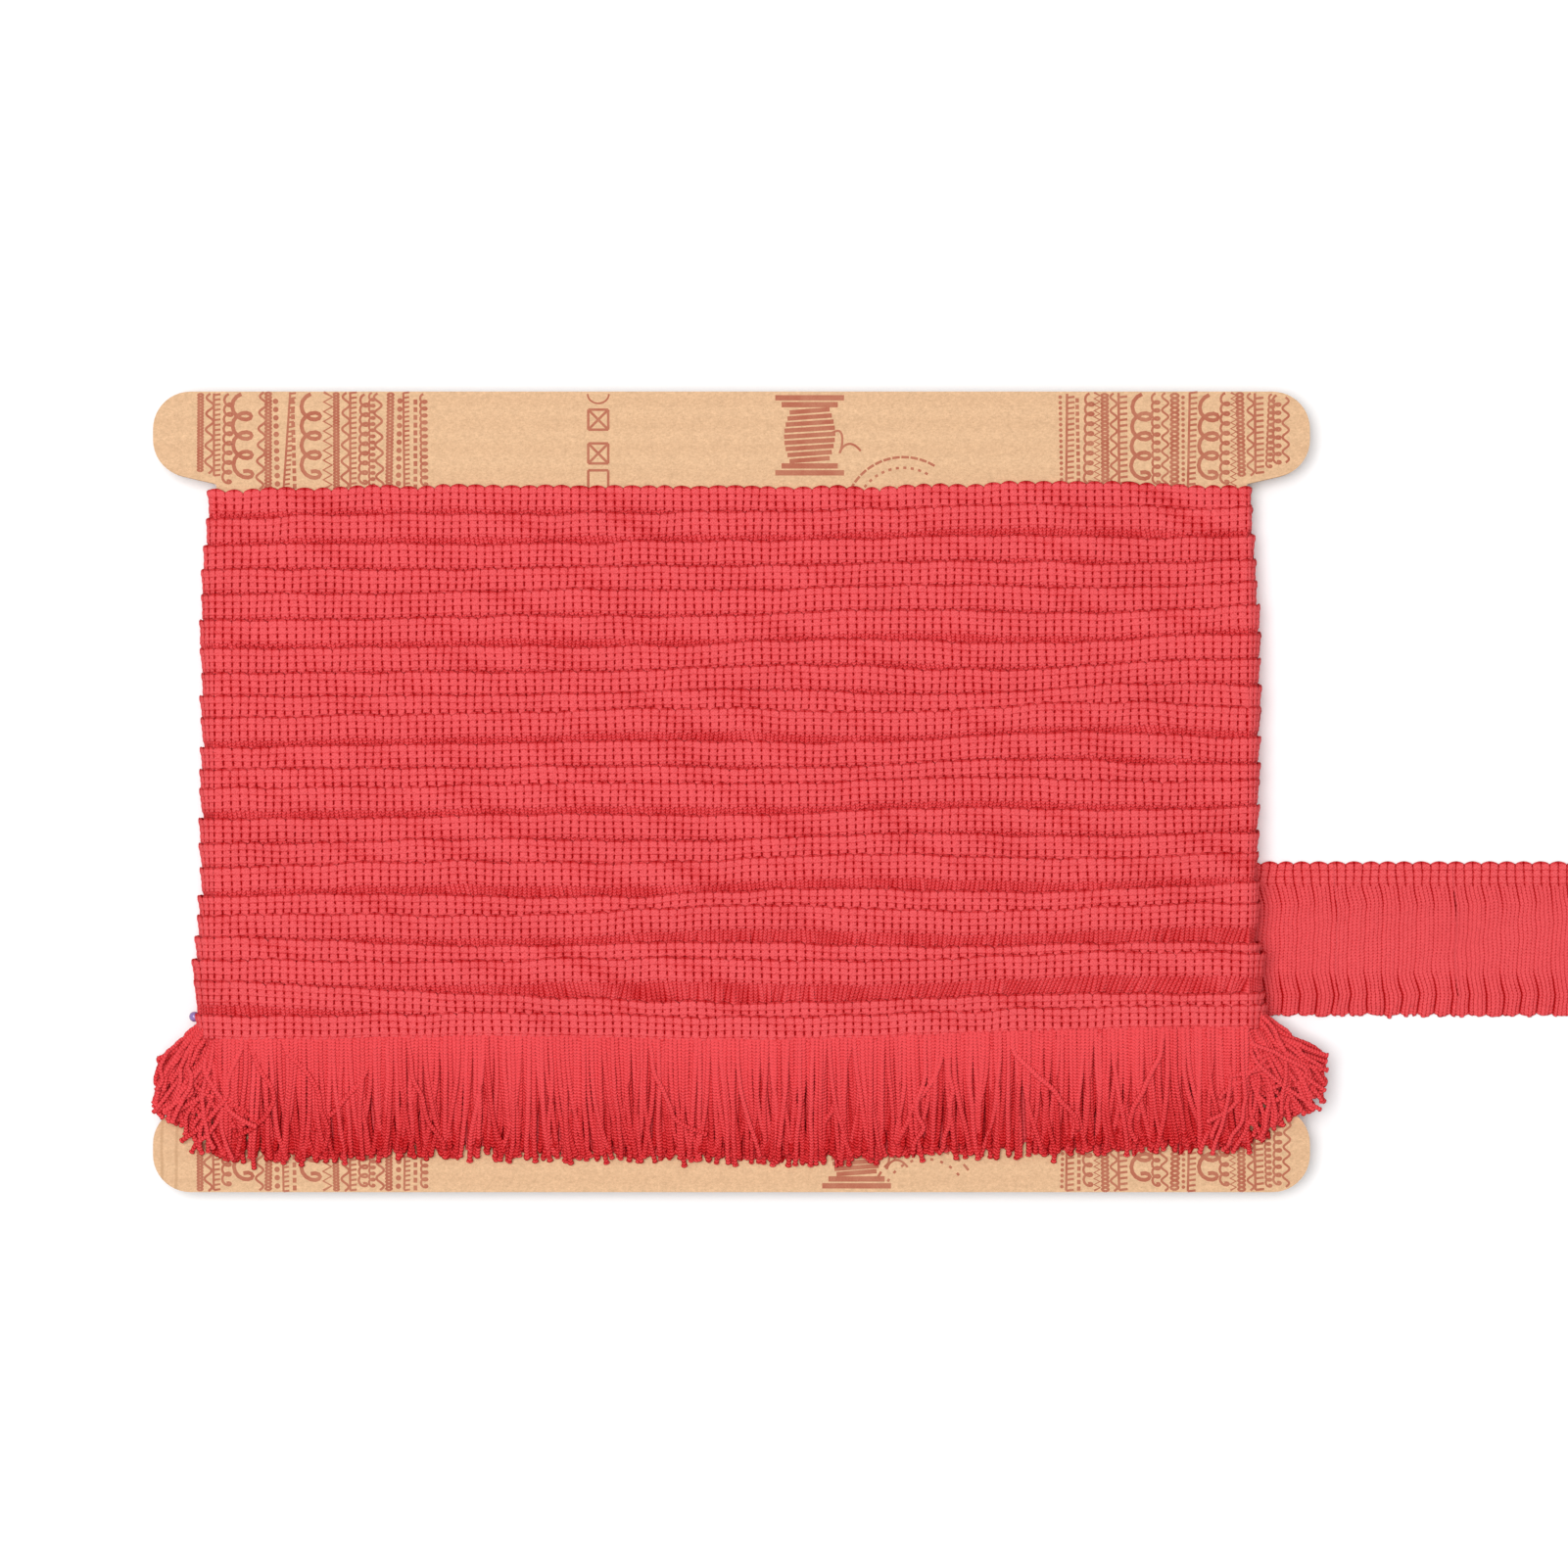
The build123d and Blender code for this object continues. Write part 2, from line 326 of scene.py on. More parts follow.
def shade_field(relief, drop):
    """Painted shade from relief: 0 in the deepest holes and 1 on the crests."""
    heading_low, heading_range, cord_low, cord_range = -0.62, 1.0, -1.05, 1.3
    heading = np.clip((relief - heading_low) / heading_range, 0, 1)
    cords = np.clip((relief - cord_low) / cord_range, 0, 1)
    return np.where(drop < HEADING, heading, cords)


# --- Laps ---
def lap_columns(lap, back):
    """Ribs, bend angle, x on the flat and turn of each column of a lap, from the right edge on."""
    rise = float(layers_under(lap + 0.25, lap_tops[lap - 1] - 4))
    bend_length = math.pi * (EDGE_RADIUS + EDGE_LAYER * rise + STRIP) * 1.1 + 3
    bend_ribs = max(2, 2 * round(bend_length / RIB / 2))
    half, bend = bend_ribs // 2 * COLUMNS_PER_RIB, bend_ribs * COLUMNS_PER_RIB
    front, behind = FLAT_RIBS * COLUMNS_PER_RIB, FLAT_RIBS * BACK_COLUMNS_PER_RIB
    right, left = HALF_FLAT, -HALF_FLAT
    # Of each part: its columns, ribs, angles in half turns, x and turns.
    parts = [
        (half, bend_ribs / 2, (0, 0.5), (right, right), (0, 0.02)),
        (front, FLAT_RIBS, (0.5, 0.5), (right, left), (0.02, 0.48)),
        (bend, bend_ribs, (0.5, 1.5), (left, left), (0.48, 0.52)),
        (behind, FLAT_RIBS, (1.5, 1.5), (left, right), (0.52, 0.98)),
        (half, bend_ribs / 2, (1.5, 2.0), (right, right), (0.98, 1.0)),
    ]
    parts = parts if back else parts[:3]
    done = []
    ribs_so_far = 0
    for number, (count, length, *spans) in enumerate(parts, 1):
        closed = number == len(parts)
        share = np.linspace(0, 1, count + closed, endpoint=closed)
        angle, x, turn = (start + share * (end - start) for start, end in spans)
        done.append((ribs_so_far + share * length, angle, x, lap + turn))
        ribs_so_far += length
    return [np.concatenate(values)[:, None] for values in zip(*done)]


def lap_sideways(lap, x, turn, drop, wander):
    """How far a lap's cords lie to the side of where they leave the heading."""
    low_right = np.clip((lap - 15) / 6, 0, 1) * smooth_step((x + 30) / 150)
    slant = 0.1 * ripple(x, lap) + 0.06 * np.sin(x / 47.0 + lap * 1.7) - 0.42 * low_right
    sideways = (slant + 0.06 * wander) * np.clip(drop - HEADING, 0, 9)
    return sideways + 0.3 * ripple(x + 0.6 * drop, lap + 0.4)


def lap_points(lap, columns, drops, under):
    """The points of a lap, with their drops below the scallops' peaks and their shade."""
    ribs, angle, x, turn = columns
    drop = np.broadcast_to(drops, (len(ribs), len(drops)))
    side, facing = np.cos(np.pi * angle), np.sin(np.pi * angle)
    flat = np.abs(facing) > 0.999
    wander = own_noise(ribs * CORDS_PER_RIB, 97 * lap)
    dropped = drop + scallop_drop(ribs, drop) * (1 + 0.22 * own_noise(ribs / 2, 41 * lap))

    outer = strip_relief(ribs, dropped, WOUND_CORD_DEPTH)
    uneven = 0.07 * wander * np.clip((drop - HEADING) / 2, 0, 1) + 0.09 * ripple(x - 2.0 * drop, lap + 0.8)
    inner = -(STRIP - 0.06) * (1 - 0.45 * np.abs(side))
    relief = np.where(under, inner, outer + uneven)

    own_shift = RIB * np.sin(2.4 * lap + 1.3 * np.round(turn - lap)) / 2
    own_shift = own_shift * smooth_step((HALF_FLAT - np.abs(x)) / 30)
    sideways = np.where(flat, lap_sideways(lap, x, turn, drop, wander), 0) + own_shift

    top = lap_edge(x, turn) + 0.24 * ripple(x, lap)
    top = np.where(flat, top, np.minimum(top, SHOULDER_TOP))
    y = top - dropped + np.where(drop > TRIM - 1.5, 1.2 * wander, 0)
    lowest = SHOULDER_BOTTOM + 0.02 * (TRIM - drop)
    y = np.where(flat | (y > lowest), y, lowest)

    layers = layers_under(turn, y)
    height = STRIP + relief
    swell = edge_swell(side, turn) + 0.25 * np.sin(lap * 2.3) + 0.5 * hump(drop, 2.6)
    reach = EDGE_RADIUS + EDGE_PACKED * layers + height + swell * np.abs(side)
    rise = (CARD_HIGH[2] - CARD_LOW[2]) / 2 + FACE_GAP + LAYER * layers + height
    px = CARD_X + x + sideways + np.where(flat, 0, reach * side)
    points = np.stack(np.broadcast_arrays(px, y, CARD_Z + rise * facing), axis=-1)
    return points, dropped, shade_field(relief, dropped)


def make_lap(lap, material):
    """One lap of the strip, in place of its heading and fringe nodes."""
    last = lap == LAPS
    columns = lap_columns(lap, back=not last)
    fringe_drops = (SHORT_END,) if last else BAND_DROPS + HIDDEN_DROPS
    drops, under = down_and_up(HEADING_DROPS + fringe_drops, SHORT_UNDER_DROPS if last else UNDER_DROPS)
    points, dropped, shade = lap_points(lap, columns, drops, under)
    ribs = np.broadcast_to(columns[0], dropped.shape)
    piece = strip_object(f"trim_lap_{lap:02d}", points, ribs, dropped, {"shade": shade}, 8)
    nodes = [f"lap_{lap:02d}_heading"] + ([] if last else [f"lap_{lap:02d}_fringe"])
    dress(piece, material, "bolt", nodes)


# --- The run across the back, and the tail ---
RUN_START = -HALF_FLAT
RUN_THICKNESS = 1.0
RUN_LIFT, RUN_SETTLE = 1.6, 30.0  # it starts this high off the floor, and lies flat this far on
RUN_PAST_BEND = 22.0  # the run stops this far before the tail's first bend
TAIL_FINE_FROM = 36.0  # drop at which the cords gather into tight groups
TAIL_TIPS = 47.0  # drop from which the cords' ends are uneven
# By drop: how far the tail's cords lean along it, and how deep the painted shade between its cords and in the
# splits between groups is.
TAIL_LEAN = ((0, 0), (7, 0), (14, 1.3), (30, 0.7), (36, 0.5), (43, 1.9), (TRIM, 1.3))
TAIL_GATHER = ((6.5, 0), (8, 0.42), (12, 0.36), (18, 0.06), (34, 0.05), (38, 0.5), (46, 0.55), (TRIM, 0.3))
# Drops down the lower face of the strip lying flat, and up its upper face where that is seen.
FLAT_DROPS = HEADING_DROPS + BAND_DROPS[:-1] + tuple(np.arange(16.5, TRIM, 1.5)) + (TRIM,)
FINE_DROPS = (TRIM,) + tuple(np.arange(8.3, TRIM, 0.6))[::-1] + HEADING_DROPS[::-1]


def reverse_relief(ribs, dropped, groups):
    """Height of the strip's back: a plainer heading, then cords gathered group by group."""
    deep = smooth_step((dropped - TAIL_FINE_FROM) / 5)
    gathered = 0.12 + 0.1 * hump(dropped - 11, 4) + 0.36 * deep
    cords = 0.3 + 0.5 * cord_relief(ribs, dropped, CORD_DEPTH) - gathered * (1 - groups)
    return np.where(dropped < HEADING, 0.42 * heading_relief(ribs, dropped), cords)


def flat_strip(name, start, end, per_rib, ribs_at_start, fine):
    """The strip lying right side down from start to end in x, fine if seen from above."""
    count = round((end - start) / RIB * per_rib) + 1
    x = np.linspace(start, end, count)[:, None]
    ribs = ribs_at_start + (x - start) / RIB
    drops, is_upper = down_and_up(FLAT_DROPS, FINE_DROPS if fine else UNDER_DROPS)
    drops = np.broadcast_to(drops, (count, len(drops)))
    dropped = drops + scallop_drop(ribs, drops)
    groups = np.abs(np.sin(np.pi * ribs / 2)) ** 0.5
    right_side = strip_relief(ribs, dropped, TAIL_CORD_DEPTH)
    reverse = reverse_relief(ribs, dropped, groups)

    rounding = 0.5 * np.clip((dropped - (TRIM - 1.2)) / 1.2, 0, 1) ** 2
    lift = RUN_LIFT * (1 - smooth_step((x - RUN_START) / RUN_SETTLE))
    upper = RUN_THICKNESS - 0.25 + reverse - rounding
    lower = 0.22 - 0.6 * right_side + rounding
    z = np.maximum(lift + np.where(is_upper, upper, lower), 0.0)

    along = smooth_step((x - RUN_START) / (BENDS[0] - RUN_START))
    top = lap_tops[-1] + (TAIL_TOP - lap_tops[-1]) * along
    bottom_scallop = 0.9 * (1 - groups) * np.clip((drops - 42) / 8, 0, 1)
    tips = np.where(drops > TAIL_TIPS, 0.25 * own_noise(ribs * CORDS_PER_RIB, 31), 0)
    lean = read_off(dropped, TAIL_LEAN) + 0.25 * ripple(x + 2 * dropped, 0.3)
    places = np.broadcast_arrays(CARD_X + x + lean, top - dropped + bottom_scallop + tips, z)

    relief = np.where(is_upper, reverse * 1.5 - 0.1, right_side)
    fields = {
        "shade": shade_field(relief, dropped),
        "reverse": is_upper * np.ones_like(relief),
        "gather": read_off(dropped, TAIL_GATHER) * is_upper,
    }
    ribs = np.broadcast_to(ribs, drops.shape)
    return strip_object(name, np.stack(places, axis=-1), ribs, dropped, fields, 10 if fine else 8)


def make_run(material):
    """The strip across the back to the tail, a whole number of scallops long."""
    scallops = round((BENDS[0] - RUN_PAST_BEND - RUN_START) / RIB / 2)
    end = RUN_START + RIB * 2 * scallops
    run = flat_strip("trim_back_run", RUN_START, end, RUN_COLUMNS_PER_RIB, 0, False)
    dress(run, material, "bolt", ["back_run_heading", "back_run_fringe"])
    return end


def make_tail(material, start):
    """The tail in one piece per bend, each cut where both of its neighbours lie rigid."""
    cuts = [start] + [(a + b) / 2 for a, b in zip(BENDS, BENDS[1:])] + [TAIL_END]
    for number, bend in enumerate(BENDS, 1):
        low, high = cuts[number - 1], cuts[number]
        ribs = (low - RUN_START) / RIB
        piece = flat_strip(f"trim_tail_{number}", low, high, COLUMNS_PER_RIB, ribs, True)
        nodes = [f"tail_{number}_heading", f"tail_{number}_fringe"]
        dress(piece, material, None, nodes)
        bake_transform(piece)


# --- Loose cords ---
CORD_THICK = 1.15
STEEPEST = 1.35  # how far from straight down a cord may run, in radians
SMOOTHED_RINGS = 15  # a cord's wandering is smoothed over this many rings
SKIRT_CORDS, CORNER_CORDS = 248, 150
SKIRT_DROP = 7.2  # drop at which the skirt's cords start, under the last heading
CLUMP = 7.5  # width of the clumps that the skirt's cords fall into
STRAY_LEFT, STRAY_RIGHT = 184.7, 190.5  # how far out from the card's middle corner cords reach
# How low the corner cords hang: distance out, and height, from the card's middle.
CORNER_LOW = ((163, -118.5), (168, -117.0), (172, -114.0), (176, -108.0), (181, -104.5), (190, -101.0))


def tube_points(paths, length, widths, sides):
    """Points round each ring of each cord, fluted by stitches and frayed at the end."""
    forward = np.gradient(paths, axis=1)
    forward /= np.linalg.norm(forward, axis=2, keepdims=True) + 1e-9
    side = np.cross(forward, np.array([0, 0, 1.0]))
    side /= np.linalg.norm(side, axis=2, keepdims=True) + 1e-9
    over = np.cross(side, forward)
    turn = TURN * (np.arange(sides) + 0.5) / sides
    across, above = np.cos(turn), np.sin(turn)
    chevron = 1 + 0.08 * np.cos(np.pi * (length[..., None] / STITCH + 0.6 * np.abs(across)))
    ends = np.ones(paths.shape[1])
    ends[0] = 0.7
    ends[-3:] = (1.25, 1.15, 0.45)
    size = chevron * ends[:, None]
    half = (widths / 2)[:, None, None]
    shifted = side[:, :, None, :] * (across * half * size)[..., None]
    raised = over[:, :, None, :] * (above * CORD_THICK / 2 * size)[..., None]
    return paths[:, :, None, :] + shifted + raised, across


def tube_faces(cords, rings, sides):
    """Quads round the cords, and a cap for each of their ends."""
    around = np.arange(sides)
    one = loop_quads(rings, sides)[:, [0, 3, 2, 1]]
    base = (np.arange(cords) * rings * sides)[:, None]
    quads = (one[None] + base[:, :, None]).reshape(-1, 4)
    return quads, np.concatenate([base + around[::-1], base + (rings - 1) * sides + around])


def tube_bake_map(cords, rings, sides):
    """Bake coordinates of the cords, each in its own cell of a square."""
    cells = math.ceil(math.sqrt(cords))
    cell = np.arange(cords)[:, None, None]
    around = np.arange(sides)[None, None, :]
    ring = np.arange(rings - 1)[None, :, None]
    sides = [(cell % cells + (around + step) / sides * 0.9 + 0.05) / cells for step in (0, 1)]
    levels = [(cell // cells + (ring + step) / rings * 0.95 + 0.02) / cells for step in (0, 1)]
    return corner_map(*sides, *levels)


def tube_object(name, paths, widths, sides, shade):
    """Chain-stitched cords as closed tubes. paths is cords x rings x 3."""
    cords, rings, _ = paths.shape
    step = np.linalg.norm(np.diff(paths, axis=1), axis=2)
    length = np.concatenate([np.zeros((cords, 1)), np.cumsum(step, axis=1)], axis=1)
    points, across = tube_points(paths, length, widths, sides)
    quads, caps = tube_faces(cords, rings, sides)
    own_drop = 20 + rng.uniform(0, STITCH, (cords, 1)) + length
    strip = np.stack(np.broadcast_arrays(0.25 + 0.25 * across, own_drop[..., None]), axis=-1)
    maps = {"OFBake": tube_bake_map(cords, rings, sides), "Strip": strip.reshape(-1, 2)[quads]}
    shades = np.broadcast_to(shade[..., None], (cords, rings, sides))
    fields = {"shade": shades, "loose": np.ones(cords * rings * sides)}
    return new_mesh(name, points.reshape(-1, 3), quads, caps, maps, fields)


def walk(starts, leans, bends, curl, rings, step):
    """Paths that wander down in XY, leaning from straight down by leans and then bends more."""
    noise = rng.normal(0, 1, (len(starts), rings))
    kernel = np.hanning(SMOOTHED_RINGS)
    kernel /= kernel.sum()
    smooth = np.array([np.convolve(row, kernel, mode="same") for row in noise])
    share = np.linspace(0, 1, rings)
    wander = np.cumsum(smooth * curl[:, None] * (0.3 + share), axis=1)
    lean = leans[:, None] + bends[:, None] * share**1.5 + wander
    lean = STEEPEST * np.tanh(lean / STEEPEST)
    steps = step[:, None] * np.stack([np.sin(lean), -np.cos(lean)])
    moved = np.cumsum(steps, axis=2) - steps
    return starts[:, 0, None] + moved[0], starts[:, 1, None] + moved[1]


def lobe_level(x, y):
    """What loose cords rest on in front: the lower laps, then the card's lobe."""
    over_card = (np.abs(x - CARD_X) < HALF_FLAT + 1) | (y < SHOULDER_BOTTOM - 2)
    level = CARD_HIGH[2] + FACE_GAP + LAYER * layers_under(LAPS + 0.25, y)
    return np.where(over_card, level, level - 1.5)


def clump_bends(x, spread):
    """Bends that neighbouring cords share, clump by clump."""
    edges = np.arange(-HALF_FLAT - CLUMP, HALF_FLAT + CLUMP, CLUMP)
    edges = edges + rng.uniform(-0.45, 0.45, len(edges)) * CLUMP
    return rng.normal(0, spread, len(edges) + 1)[np.searchsorted(edges, x)]


def skirt_paths(length, curl, lifts, stray, step_length):
    """Cords of the skirt, from under the last heading down over the lower lobe."""
    count = len(stray)
    lift = rng.uniform(*lifts, count)
    x = np.linspace(HALF_FLAT - 0.7, -HALF_FLAT + 0.7, count) + rng.normal(0, 0.06, count)
    top = lap_edge(x, LAPS + 0.25 - 0.23 * x / HALF_FLAT) - SKIRT_DROP
    rings = round(length / step_length)
    leans = rng.normal(0, 0.004, count)
    fan = 0.32 * smooth_step((x - 120) / 45) - 0.10 * smooth_step((-x - 135) / 30)
    bends = fan + clump_bends(x, 0.075) + rng.normal(0, 0.028, count) + stray * rng.normal(0, 0.12, count)
    step = length * (1 + rng.normal(0, 0.022, count) + 0.014 * np.sin(x / 13.0)) / rings
    px, py = walk(np.stack([x, top], axis=-1), leans, bends, curl + 0.13 * stray, rings, step)
    share = np.linspace(0, 1, rings)
    swell = lift[:, None] * np.sin(np.pi * np.clip(share * 1.1, 0, 1)) ** 0.7 + 0.9 * stray[:, None] * share
    uneven = rng.normal(0, 1, count)[:, None] * (0.06 + 0.32 * share)
    return np.stack([px + CARD_X, py, lobe_level(px, py) + 0.62 + swell + uneven], axis=-1)


def make_skirt(material):
    """The skirt: a dense face of cords, in two halves for size, over two plainer layers; painted shade
    darkens the cords downwards and the layers beneath.
    """
    stray = (rng.uniform(0, 1, SKIRT_CORDS) > 0.95).astype(float)
    calm = np.zeros(SKIRT_CORDS)
    face = skirt_paths(40.4, 0.020, (0.9, 1.5), stray, 0.35)
    middle = skirt_paths(39.6, 0.024, (0.3, 0.8), calm, 0.7)
    under = skirt_paths(38.6, 0.020, (-0.3, 0.1), calm, 1.4)
    half = SKIRT_CORDS // 2
    # Each layer's painted shade: the layers under the face are darker.
    pieces = [
        ("skirt_cords_right", face[:half], 6, 1.0),
        ("skirt_cords_left", face[half:], 6, 1.0),
        ("skirt_cords_middle", middle, 6, 0.8),
        ("skirt_cords_under", under, 5, 0.55),
    ]
    for name, paths, sides, layer_shade in pieces:
        cords, rings, _ = paths.shape
        # Painted shade darkening down each cord as the cords part, times a random tone for each cord.
        shade_and_tone = np.linspace(1.3, 0.6, rings) * rng.normal(1, 0.09, (cords, 1))
        piece = tube_object(name, paths, rng.uniform(1.65, 1.95, cords), sides, shade_and_tone * layer_shade)
        dress(piece, material, None, ["front_skirt"])
        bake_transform(piece)


def kept_within(start, path, limit):
    """Paths shrunk towards their starts where they would pass a limit."""
    travel = np.max(path - start[:, None], axis=1)
    fits = np.minimum(1, (limit - start) / np.maximum(travel, 0.1))
    return start[:, None] + (path - start[:, None]) * fits[:, None]


def corner_paths(side, count):
    """Stray cords from where the strip bends round an edge, splayed over the lobe."""
    rings = 96
    phase = rng.uniform(-0.4, 0.5, count)  # where round the bend a cord starts, in half turns
    rise = layers_under(LAPS, lap_tops[-1] - 12)
    reach = EDGE_RADIUS + EDGE_PACKED * rise + STRIP + edge_swell(side, LAPS)
    inset = np.where(phase > 0.25, rng.uniform(0, 7, count), 0)
    x = side * (HALF_FLAT + reach * np.cos(np.pi * phase) - inset)
    y = lap_edge(x, LAPS + 0.25 - 0.23 * side) - rng.uniform(3.5, 9.5, count) - np.where(phase > 0.3, 3.5, 0)
    height = (CARD_HIGH[2] - CARD_LOW[2]) / 2 + FACE_GAP + LAYER * rise + STRIP
    z = CARD_Z + height * np.sin(np.pi * phase)

    wild = rng.uniform(0, 1, count) > 0.8
    round_edge = np.clip(1 - phase / 0.5, 0, 1)
    outward = (0.1 + 0.95 * round_edge) * rng.uniform(0.4, 1.25, count) + 0.2 * wild
    bends = -side * outward * rng.uniform(0.7, 1.5, count)
    length = rng.uniform(35, 41, count) - 7 * outward
    curl = np.where(wild, rng.uniform(0.25, 0.45, count), rng.uniform(0.04, 0.15, count))
    px, py = walk(np.stack([x, y], axis=-1), side * outward, bends, curl, rings, length / rings)
    furthest = STRAY_RIGHT if side > 0 else STRAY_LEFT
    px = side * kept_within(side * x, side * px, furthest - rng.uniform(0, 8, count) * np.where(wild, 0.3, 1))
    lowest = CARD_Y + read_off(np.abs(px[:, -1]), CORNER_LOW) + rng.uniform(0, 3, count)
    py = -kept_within(-y, -py, -lowest)

    share = np.linspace(0, 1, rings)
    front = phase > -0.12
    rest = np.where(front, CARD_HIGH[2] + 0.9, CARD_LOW[2] - 1.6)[:, None]
    pile = (rng.uniform(0, 1, count) ** 1.3 * np.where(front, 5.0, -3.0))[:, None]
    settled = smooth_step(share * 1.6)
    pz = z[:, None] * (1 - settled) + (rest + pile) * settled
    pz = pz + 0.4 * np.sin(share * 8 + rng.uniform(0, 6, count)[:, None])
    return np.stack([px + CARD_X, py, np.maximum(pz, 1.0)], axis=-1)


def make_corners(material):
    for name, side in (("left", -1), ("right", 1)):
        paths = corner_paths(side, CORNER_CORDS)
        # Cords low in the pile get painted shade; each cord is also darker towards its end.
        piled = np.clip((paths[:, -1:, 2] - CARD_HIGH[2]) / 5.5, 0, 1)
        shade = (0.72 + 0.36 * piled) * np.linspace(1.1, 0.9, paths.shape[1])
        widths = rng.uniform(1.5, 1.8, CORNER_CORDS)
        piece = tube_object(f"{name}_corner_cords", paths, widths, 6, shade)
        dress(piece, material, "bolt", [f"{name}_corner_fringe"])


# --- Shader values ---
class Value:
    """A shader socket that sums can use like a number."""

    def __init__(self, socket):
        self.socket = socket
        self.tree = socket.id_data

    __add__ = __radd__ = lambda self, other: maths("ADD", self, other)
    __mul__ = __rmul__ = lambda self, other: maths("MULTIPLY", self, other)
    __sub__ = lambda self, other: maths("SUBTRACT", self, other)
    __rsub__ = lambda self, other: maths("SUBTRACT", other, self)
    __truediv__ = lambda self, other: maths("DIVIDE", self, other)


def feed(sockets, values):
    """Link each named socket to a shader value, or set it to a number or colour."""
    for key, value in values.items():
        if isinstance(value, Value):
            value.tree.links.new(value.socket, sockets[key])
        else:
            sockets[key].default_value = value


def node(tree, kind, output, inputs=None, **settings):
    """One output of a new shader node with these inputs and settings."""
    made = tree.nodes.new(kind)
    for key, value in settings.items():
        setattr(made, key, value)
    feed(made.inputs, inputs or {})
    return Value(made.outputs[output])


def maths(operation, a, b=0.0):
    """A sum of shader values and numbers, at least one of them a shader value."""
    tree = (a if isinstance(a, Value) else b).tree
    return node(tree, "ShaderNodeMath", 0, {0: a, 1: b}, operation=operation)


def mix(factor, a, b, blend="MIX"):
    """A mix of two colours, where at least one of the inputs is a shader value."""
    tree = next(value.tree for value in (factor, a, b) if isinstance(value, Value))
    return node(tree, "ShaderNodeMix", 2, {0: factor, 6: a, 7: b}, data_type="RGBA", blend_type=blend)


def linear(colour):
    """A colour of 0 to 255 in sRGB, as the linear one that shaders take."""
    values = [channel / 255 for channel in colour]
    return tuple(c / 12.92 if c <= 0.04045 else ((c + 0.055) / 1.055) ** 2.4 for c in values) + (1.0,)


def tinted(colour, factor):
    """A linear colour made darker or lighter."""
    return tuple(min(1.0, channel * factor) for channel in colour[:3]) + (1.0,)


def noise(where, scale, detail=3.0, roughness=0.55):
    inputs = {"Vector": where, "Scale": scale, "Detail": detail, "Roughness": roughness}
    return node(where.tree, "ShaderNodeTexNoise", "Fac", inputs)


def stretched(where, scale):
    return node(where.tree, "ShaderNodeMapping", "Vector", {"Vector": where, "Scale": scale})


def x_and_y(where):
    return [node(where.tree, "ShaderNodeSeparateXYZ", axis, {"Vector": where}) for axis in "XY"]


def bumped(height, distance, strength):
    inputs = {"Height": height, "Distance": distance, "Strength": strength}
    return node(height.tree, "ShaderNodeBump", "Normal", inputs)


def graded(value, stops):
    """A colour that runs through stops of a position and a colour each."""
    colour = node(value.tree, "ShaderNodeValToRGB", "Color", {"Fac": value})
    elements = colour.socket.node.color_ramp.elements
    elements[0].position, elements[0].color = stops[0]
    elements[1].position, elements[1].color = stops[-1]
    for position, between in stops[1:-1]:
        elements.new(position).color = between
    return colour


def ramp_down(value, full, none):
    """1 up to full and 0 from none on, easing between them."""
    inputs = {"Value": value, "From Min": full, "From Max": none, "To Min": 1.0, "To Max": 0.0}
    return node(value.tree, "ShaderNodeMapRange", "Result", inputs, interpolation_type="SMOOTHSTEP")


def distance(value, place):
    """How far a value is from a place."""
    return maths("ABSOLUTE", value - place)


def from_whole(value):
    """How far a value is from the nearest whole number."""
    return distance(maths("FRACT", value + 0.5), 0.5)


# --- Materials ---
# Each looks function turns the place on the object, in metres, into the surface's inputs.


def new_material(name, looks):
    """A material whose surface inputs come from a looks function."""
    material = bpy.data.materials.new(name)
    material.use_nodes = True
    tree = material.node_tree
    where = node(tree, "ShaderNodeTexCoord", "Object")
    feed(tree.nodes["Principled BSDF"].inputs, looks(where))
    return material


def heading_painted_shade(ribs, drop, reverse, patchy):
    """Painted shade on the heading: in its holes, along its binding threads, in the notches at its top and
    along its edge.
    """
    groove = ramp_down(from_whole(ribs), 0.04, 0.12)
    holes = sum(ramp_down(distance(drop, row), tall - 0.15, tall + 0.2) for row, tall in HOLE_ROWS)
    depth = holes * (0.8 - reverse * 0.65) + (reverse * 0.27 + 0.1)
    notch = ramp_down(from_whole(ribs * 0.5), 0.01, 0.06) * 0.5
    loop_split = ramp_down(from_whole(ribs), 0.02, 0.1) * 0.28
    split_top = maths("MAXIMUM", notch, loop_split) * ramp_down(drop, 1.3, 2.6)
    rim = ramp_down(drop, 0.3, 1.1) * 0.3
    binder = ramp_down(from_whole((drop - BINDER_FROM) / BINDER_PITCH), 0.03, 0.11) * 0.24
    return (groove * depth + binder) * patchy + rim + split_top


def cord_painted_shade(ribs, side, gather, loose, uneven):
    """Painted shade on the fringe between cords and between groups of them."""
    gap = 1 - ramp_down(side, 0.30, 0.5)
    gap_depth = gather * 0.5 + loose * 0.4 + 0.42
    split = ramp_down(from_whole(ribs * 0.5), 0.01, 0.1) * gather * (uneven + 0.5)
    return gap * gap_depth + split


def stitch_wave(ribs, drop, side):
    """The V stitches along each cord, from -1 to 1, each cord with its own phase."""
    cord = maths("FLOOR", ribs * CORDS_PER_RIB)
    own_phase = maths("SINE", cord * 12.99) * 5.7
    return maths("SINE", (drop / STITCH + side * 1.4 + own_phase) * TURN)


